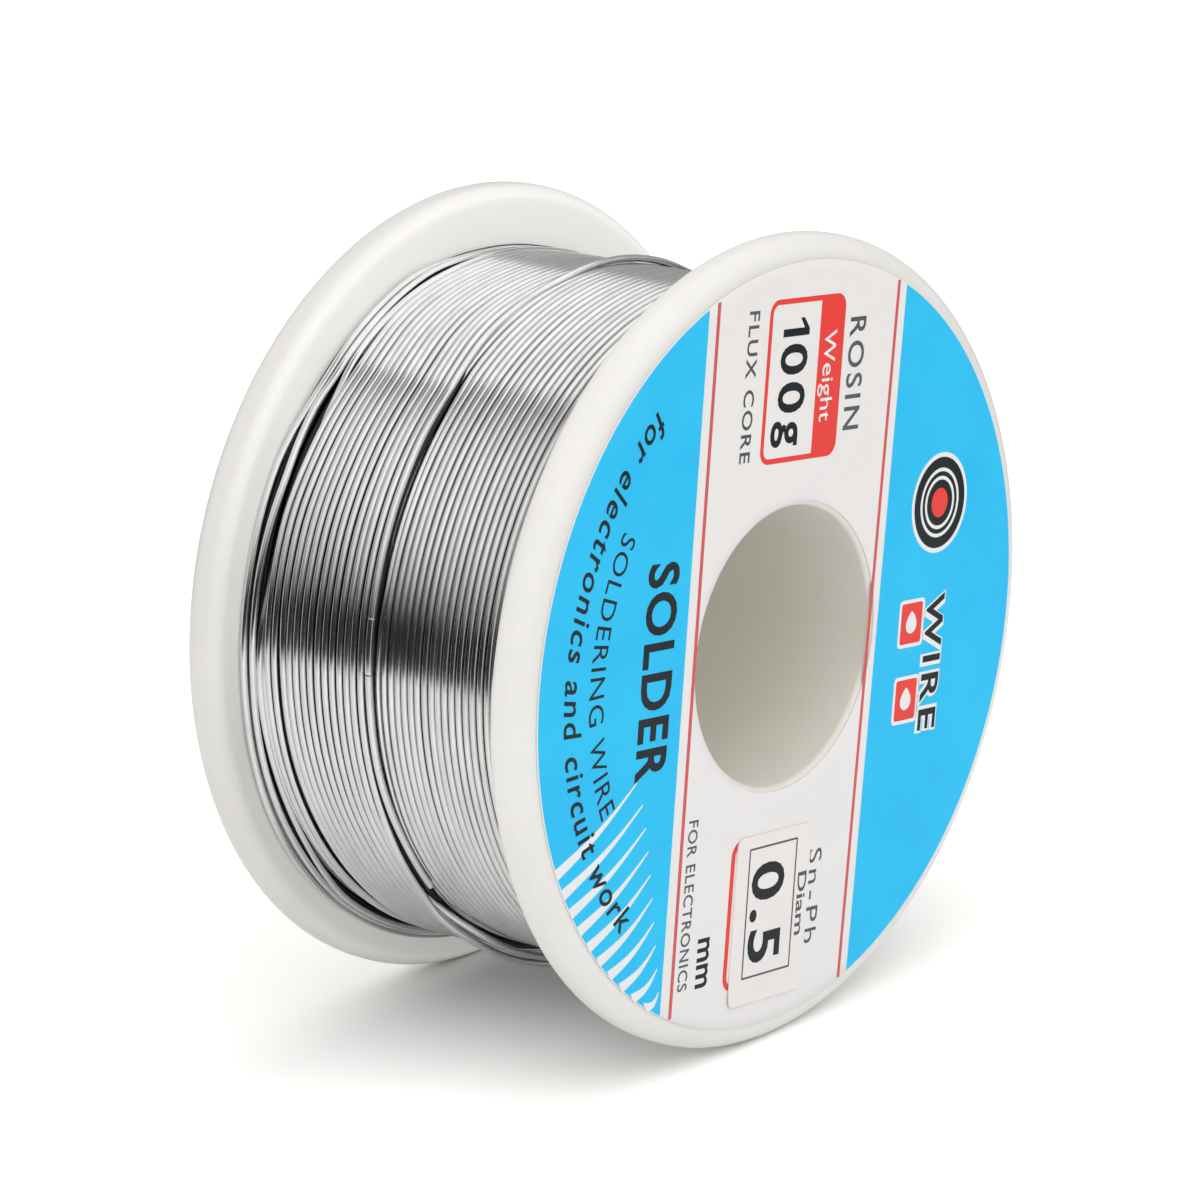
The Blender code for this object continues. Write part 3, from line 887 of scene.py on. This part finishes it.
def segment(x0, slope, side):
    """The part of the disc beyond the line x = x0 + slope * z, towards side * X."""
    low, high = (math.atan2(z, x0 + slope * z) for z in chord(x0, slope, PRINT_R))
    angles = np.linspace(high, low + TAU, 90) if side < 0 else np.linspace(low, high, 90)
    return [(PRINT_R * math.cos(a), PRINT_R * math.sin(a)) for a in angles]


def rule(x0, slope, width):
    """A thin line along x = x0 + slope * z, clipped to the disc."""
    zs = np.linspace(*chord(x0, slope, LABEL_OUT_R - 0.07), 40)
    left = [(x0 + slope * z - width / 2, z) for z in zs]
    right = [(x0 + slope * z + width / 2, z) for z in zs[::-1]]
    return left + right


def print_side_fields():
    """Blue fields on both sides, each with a red rule beside it."""
    blue.prism(segment(-11.1, 0.106, side=-1))
    blue.prism(segment(10.30, 0.124, side=1))
    line_red.prism(rule(-10.05, 0.104, width=0.34))
    line_red.prism(rule(9.38, 0.124, width=0.32))


def print_fan():
    """White strips fanning out to the label's edge, low on the left."""
    count = 10
    for k in range(count):
        f = k / (count - 1.0)
        inner = Vector((-15.9 + 2.3 * f ** 0.6, -5.4 - 15.0 * f))
        angle = math.radians(201.5 + 33.0 * f)
        outer = Vector((PRINT_R * math.cos(angle), PRINT_R * math.sin(angle)))
        along = inner - outer
        across = Vector((-along.y, along.x)).normalized()
        left, right = [], []
        for q in np.linspace(0, 1, 9):
            middle = outer.lerp(inner, q) + across * (-0.35 * math.sin(math.pi * q))
            half_width = 0.36 * (1 - q) ** 1.1 + 0.05
            left.append(tuple(middle + across * half_width))
            right.append(tuple(middle - across * half_width))
        white.prism(left + right[::-1], coats=2)


def print_weight_box():
    """Framed weight at the top, half of it a red panel, and a small line on either side."""
    width, height, corner, centre = 8.35, 10.9, 0.95, (1.55, 18.0)
    panel_left = 1.45
    red.mesh(frame_mesh(width, height, corner, 0.36, centre), coats=1.2)
    panel = [(max(x, panel_left), z) for x, z in rounded_rect(width, height, corner)]
    panel = [p for i, p in enumerate(panel) if p != panel[i - 1]]
    red.prism(place(panel, centre))

    down, up = reading_axes(LABEL_TILT)

    def on_line(along, above):
        """A point that far down the reading line and towards the letters' tops."""
        return tuple(np.array([-0.02, 18.0]) + along * down + above * up)

    # the figure 1: outlines of (along, above)
    stem = [(-0.05, -1.425), (-0.05, 1.36), (0.02, 1.425), (0.47, 1.425), (0.47, -1.425)]
    flag = [(-0.72, 0.38), (-0.72, 0.80), (-0.05, 1.36), (-0.05, 0.88)]
    for part in (stem, flag):
        black.prism([on_line(along - 3.55, above + 0.42) for along, above in part[::-1]])
    for along in (-1.55, 0.98):
        line_text(black, "0", 2.85, 2.05, on_line(along, 0.42), bold=0.018)
    line_text(black, "g", 1.95, 1.75, on_line(3.35, 0.38), bold=0.018)
    line_text(white, "Weight", 1.28, 6.1, (4.25, 17.7), coats=2.2, bold=0.002)
    line_text(grey, "FLUX CORE", 1.10, 10.0, (-4.25, 18.5), spacing=1.15, bold=0.014)
    line_text(grey, "ROSIN", 1.75, 7.6, (7.25, 17.3), spacing=1.2, bold=0.012)


def print_left_words():
    line_text(black, "SOLDER", 3.1, 14.4, (-13.75, 1.5), coats=2, bold=0.028, spacing=1.12)
    arc_text(black, "SOLDERING WIRE", 1.5, radius=20.8, start=146.0, end=200.0, coats=2,
             spacing=1.1)
    arc_text(black, "for electronics and circuit work", 1.75, radius=23.3, start=126.0,
             end=221.0, coats=2.6, bold=0.012, slant=0.18, spacing=1.15)


def print_coil_badge():
    """A plain coil pictogram on the right blue field."""
    centre, squash, count = (17.3, 6.3), 1.08, 48

    def circle(radius):
        return oval(centre, radius, squash * radius, count)

    white.prism(circle(3.25), coats=2.0)
    black.prism(circle(2.95), coats=2.6)
    for outer, inner in ((2.25, 2.02), (1.72, 1.49)):
        white.mesh(band_mesh(circle(outer), circle(inner)), coats=3.2)
    red.prism(oval(centre, 0.95, 1.03, 32), coats=3.2)


def print_right_words():
    """A black word with a white edge, and two red tiles with a white drop."""
    word_at = (16.65, -4.9)
    line_text(white, "WIRE", 2.2, 9.9, word_at, coats=2.0, bold=0.085, spacing=1.25)
    line_text(black, "WIRE", 2.0, 9.6, word_at, coats=3.0, bold=0.018, spacing=1.25)
    drop_r = 0.62
    drop = []
    for x, y in oval((0, 0), drop_r, drop_r, 28):
        if y > 0:
            y *= 1.0 + 0.55 * (1 - abs(x) / drop_r)
        drop.append((x, y - 0.1))
    for centre in ((14.2, -1.6), (13.65, -6.95)):
        white.prism(place(rounded_rect(2.95, 3.35, 0.35), centre), coats=2.0)
        red.prism(place(rounded_rect(2.45, 2.85, 0.2), centre), coats=2.6)
        white.prism(place(drop, centre), coats=3.2)


def print_lower_band():
    """Unit and small words, and the frame that the sticker half covers."""
    line_text(grey, "FOR ELECTRONICS", 1.0, 11.6, (-10.5, -15.3), spacing=1.1, bold=0.012)
    line_text(black, "mm", 1.25, 3.4, (-8.9, -19.7), bold=0.02)
    line_text(grey, "Sn-Pb", 1.45, 6.6, (3.2, -18.3), spacing=1.2)
    red.mesh(frame_mesh(7.9, 10.3, 1.0, 0.42, (-2.35, -17.75)), coats=1.2)


add_label_disc()
blue, red, line_red = Ink("print_blue", BLUE), Ink("print_red", RED), Ink("print_red_lines", LINE_RED)
black, grey, white = (Ink("print_black", BLACK), Ink("print_small_text", GREY),
                      Ink("print_white", WHITE))
print_side_fields()
print_fan()
print_weight_box()
print_left_words()
print_coil_badge()
print_right_words()
print_lower_band()
for ink in (blue, red, line_red, black, grey, white):
    ink.done()

# ===================================================================== sticker
STICKER_TILT = math.radians(5.6)
STICKER_FACE = STICKER_TOP - 0.02


def add_sticker_sheet():
    """A thin sheet with rounded corners, its left corners and both ends curling up."""
    width, height, corner = 8.2, 11.6, 0.5
    columns, rows = 34, 46
    low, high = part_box("spec_sticker")
    centre = ((low.x + high.x) / 2 / MM, (low.z + high.z) / 2 / MM)
    x, z = np.meshgrid(np.linspace(-width / 2, width / 2, columns),
                       np.linspace(-height / 2, height / 2, rows), indexing="ij")
    # pull the grid's corners in to the corner arcs
    over_x, over_z = np.abs(x) - (width / 2 - corner), np.abs(z) - (height / 2 - corner)
    in_corner = (over_x > 0) & (over_z > 0)
    dist = np.hypot(over_x, over_z)
    pull = np.where(in_corner & (dist > corner), corner / np.maximum(dist, 1e-9), 1.0)
    x = np.where(in_corner, np.sign(x) * (width / 2 - corner + over_x * pull), x)
    z = np.where(in_corner, np.sign(z) * (height / 2 - corner + over_z * pull), z)
    curl = (0.10 * np.clip((-x - z - 6.4) / 3.3, 0, 1) ** 2
            + 0.05 * np.clip((-x + z - 7.2) / 2.6, 0, 1) ** 2
            + 0.02 * np.clip((np.abs(z) - 4.9) / 0.9, 0, 1) ** 2).ravel()
    flat = place(list(zip(x.ravel(), z.ravel())), centre, STICKER_TILT)
    under = STICKER_TOP - 0.1 - 0.018
    points = [(px, -(level + lift), pz) for level in (STICKER_FACE, under)
              for (px, pz), lift in zip(flat, curl)]
    n = columns * rows
    faces = []
    for i in range(columns - 1):
        for j in range(rows - 1):
            a, b = i * rows + j, (i + 1) * rows + j
            faces += [(a, b, b + 1, a + 1), (n + a + 1, n + b + 1, n + b, n + a)]
    rim = [i * rows for i in range(columns)]
    rim += [(columns - 1) * rows + j for j in range(1, rows)]
    rim += [i * rows + rows - 1 for i in range(columns - 2, -1, -1)]
    rim += list(range(rows - 2, 0, -1))
    for i, a in enumerate(rim):
        b = rim[(i + 1) % len(rim)]
        faces.append((b, a, n + a, n + b))
    add("sticker_paper_sheet", solid_mesh("sticker", points, faces, 45), STICKER,
        replaces=("spec_sticker",))


def print_sticker():
    dark = Ink("sticker_print_black", BLACK, "sticker_paper", STICKER_FACE)
    pale = Ink("sticker_print_grey", GREY, "sticker_paper", STICKER_FACE)
    pale.mesh(frame_mesh(5.35, 9.05, 0.06, 0.14, (-1.72, -17.85), STICKER_TILT, steps=1))
    line_text(dark, "0.5", 3.5, 6.9, (-2.05, -17.95), tilt=STICKER_TILT, bold=0.020, spacing=1.1)
    line_text(pale, "Diam", 0.95, 4.4, (1.72, -18.4), tilt=STICKER_TILT, bold=0.014)
    dark.done()
    pale.done()


add_sticker_sheet()
print_sticker()


# ================================================================ stage, light
def floor_material():
    """Near-white floor with painted light: brighter to the camera, with a painted light strip in the
    spool's shadow, and painted shade where the metal reflects it far off and towards +Y.
    """
    material, tree, bsdf = new_material("floor")
    mottle = noise(tree, coords(tree), scale=12.0, detail=3.0)
    feed(tree, bsdf, {
        "Roughness": 0.55,
        "Base Color": mix_rgb(tree, remap(tree, mottle, span=(0.3, 0.7)),
                              (0.95, 0.95, 0.945), (0.935, 0.935, 0.93))})
    position = node(tree, "ShaderNodeNewGeometry").outputs["Position"]
    distance = node(tree, "ShaderNodeVectorMath", {0: position}, operation="LENGTH")
    x, y, _ = separate(tree, position)
    # to the camera: brighter than white, and a painted light strip along -X near the middle that
    # lightens the spool's shadow
    painted_light_strip = calc(tree, "MULTIPLY", remap(tree, y, span=(0.008, -0.003)),
                 remap(tree, y, span=(-0.018, -0.008)))
    painted_light_strip = calc(tree, "MULTIPLY", painted_light_strip, remap(tree, x, span=(0.004, -0.006)))
    bright = mix_rgb(tree, painted_light_strip, (1.11, 1.105, 1.096), (1.36, 1.352, 1.34))
    painted_lift = node(tree, "ShaderNodeBsdfDiffuse", {"Color": bright})
    # painted reflection: to the bright metal the floor is painted dark from about 0.14 m away, as if
    # it ended there, and painted a little darker towards +Y
    painted_reflection_shade = calc(tree, "MAXIMUM",
               remap(tree, distance.outputs["Value"], span=(0.128, 0.158)),
               remap(tree, y, span=(-0.03, 0.05), to=(0.02, 0.28)))
    rays = node(tree, "ShaderNodeLightPath").outputs
    painted_reflection_shade = calc(tree, "MULTIPLY", painted_reflection_shade, rays["Is Glossy Ray"])
    # painted reflection: the near-black colour that the metal sees of the far floor
    dark = node(tree, "ShaderNodeBsdfDiffuse", {"Color": (0.02, 0.019, 0.018, 1)})
    lit = node(tree, "ShaderNodeMixShader",
               {0: rays["Is Camera Ray"], 1: bsdf.outputs[0], 2: painted_lift.outputs[0]})
    surface = node(tree, "ShaderNodeMixShader", {0: painted_reflection_shade, 1: lit.outputs[0], 2: dark.outputs[0]})
    feed(tree, tree.nodes["Material Output"], {"Surface": surface.outputs[0]})
    return material


def add_floor():
    material = floor_material()
    mesh = bpy.data.meshes.new("floor")
    half, z = 2.5, -FLANGE_R * MM
    mesh.from_pydata([(-half, -half, z), (half, -half, z), (half, half, z), (-half, half, z)],
                     [], [(0, 1, 2, 3)])
    floor = bpy.data.objects.new("floor", mesh)
    scene.collection.objects.link(floor)
    mesh.materials.append(material)


def level_curve(tree, source, stops):
    """Piecewise-linear level against a coordinate; stops are (place, level) pairs."""
    made = node(tree, "ShaderNodeFloatCurve")
    low, high = stops[0][0], stops[-1][0]
    top = max(level for _, level in stops)
    points = made.mapping.curves[0].points
    while len(points) < len(stops):
        points.new(0.5, 0.5)
    for point, (x, level) in zip(points, stops):
        point.location = ((x - low) / (high - low), level / top)
        point.handle_type = "VECTOR"
    made.mapping.update()
    feed(tree, made, {"Value": remap(tree, source, span=(low, high))})
    return calc(tree, "MULTIPLY", made.outputs[0], top)


def reflected_room(tree, x, y, z):
    """What bright metal sees: a softbox overhead and to +X with a dark edge beside it.

    The -X side is black near the horizon and brightens upwards; the -Y side is bright.
    """
    up = calc(tree, "MAXIMUM", z, 0.02)
    x_slope = calc(tree, "DIVIDE", x, up)
    y_slope = calc(tree, "DIVIDE", y, up)
    left = level_curve(tree, z, [(-1.0, 0.012), (0.03, 0.012), (0.08, 0.11), (0.14, 0.29),
                                 (0.24, 0.52), (0.37, 0.94), (0.55, 1.16), (1.0, 1.24)])
    left = calc(tree, "MULTIPLY", left, level_curve(
        tree, y, [(-1.0, 1.15), (-0.2, 1.0), (0.3, 0.82), (0.7, 0.64), (1.0, 0.56)]))
    left = calc(tree, "MULTIPLY", left, level_curve(
        tree, x_slope, [(-1.3, 1.0), (-0.70, 0.98), (-0.50, 0.82), (-0.38, 0.56),
                        (-0.26, 0.33), (0.4, 0.29)]))
    softbox = calc(tree, "MULTIPLY", remap(tree, x_slope, span=(1.12, 1.05)),
                   remap(tree, y_slope, span=(0.70, 0.46)))
    beside_box, in_box = 0.47, 1.37
    right = mix_level(tree, softbox, beside_box, in_box)
    seen = mix_level(tree, remap(tree, x_slope, span=(-0.20, -0.17)), left, right)
    front = level_curve(tree, z, [(-1.0, 0.05), (0.0, 0.06), (0.07, 0.35), (0.16, 0.93),
                                  (0.38, 1.40), (1.0, 1.45)])
    seen = mix_level(tree, remap(tree, y, span=(-0.40, -0.72)), seen, front)
    exposure = 0.83
    return calc(tree, "MULTIPLY", seen, exposure)


def light_tent(tree, direction, x, z):
    """What lights the matt surfaces: an even tent, stronger on the -X side, and a high key."""
    key_direction = Vector((-0.15, -0.46, 0.87)).normalized()
    key_strength, exposure = 0.75, 0.91
    tent = level_curve(tree, z, [(-1.0, 0.9), (0.0, 0.87), (0.5, 0.98), (1.0, 1.16)])
    tent = calc(tree, "MULTIPLY", tent, level_curve(
        tree, x, [(-1.0, 1.30), (-0.75, 1.27), (-0.45, 1.0), (1.0, 0.97)]))
    towards_key = node(tree, "ShaderNodeVectorMath", {0: direction, 1: key_direction},
                       operation="DOT_PRODUCT").outputs["Value"]
    key = calc(tree, "MULTIPLY", remap(tree, towards_key, span=(0.78, 0.93)), key_strength)
    return calc(tree, "MULTIPLY", calc(tree, "ADD", tent, key), exposure)


def build_world():
    """Separate levels for reflections, for lighting and for the camera's plain white."""
    world = bpy.data.worlds.new("studio")
    scene.world = world
    world.use_nodes = True
    tree = world.node_tree
    direction = node(tree, "ShaderNodeTexCoord").outputs["Generated"]
    x, y, z = separate(tree, direction)
    seen = reflected_room(tree, x, y, z)
    tent = light_tent(tree, direction, x, z)
    rays = node(tree, "ShaderNodeLightPath").outputs
    level = mix_level(tree, rays["Is Glossy Ray"], tent, seen)
    level = mix_level(tree, rays["Is Camera Ray"], level, 1.0)
    colour = mix_rgb(tree, rays["Is Camera Ray"], (1.0, 0.990, 0.980), (1.0, 1.0, 1.0))
    feed(tree, tree.nodes["Background"], {"Color": colour, "Strength": level})


def add_camera():
    """Long lens from the -X, -Y side, a little above the spool."""
    position = Vector((-264.79, -212.42, 98.87)) * MM
    right = Vector((0.6280, -0.7782, 0))
    up = Vector((0.2164, 0.1746, 0.9605))
    back = Vector((-0.7475, -0.6032, 0.2781))
    data = bpy.data.cameras.new("camera")
    data.sensor_width = 36.0
    data.lens = 156.07
    data.clip_start, data.clip_end = 0.01, 20.0
    camera = bpy.data.objects.new("camera", data)
    scene.collection.objects.link(camera)
    turn = Matrix((right, up, back)).transposed().to_4x4()
    camera.matrix_world = Matrix.Translation(position) @ turn
    scene.camera = camera


add_floor()
build_world()
add_camera()
scene.view_settings.view_transform = "Standard"
scene.view_settings.look = "None"
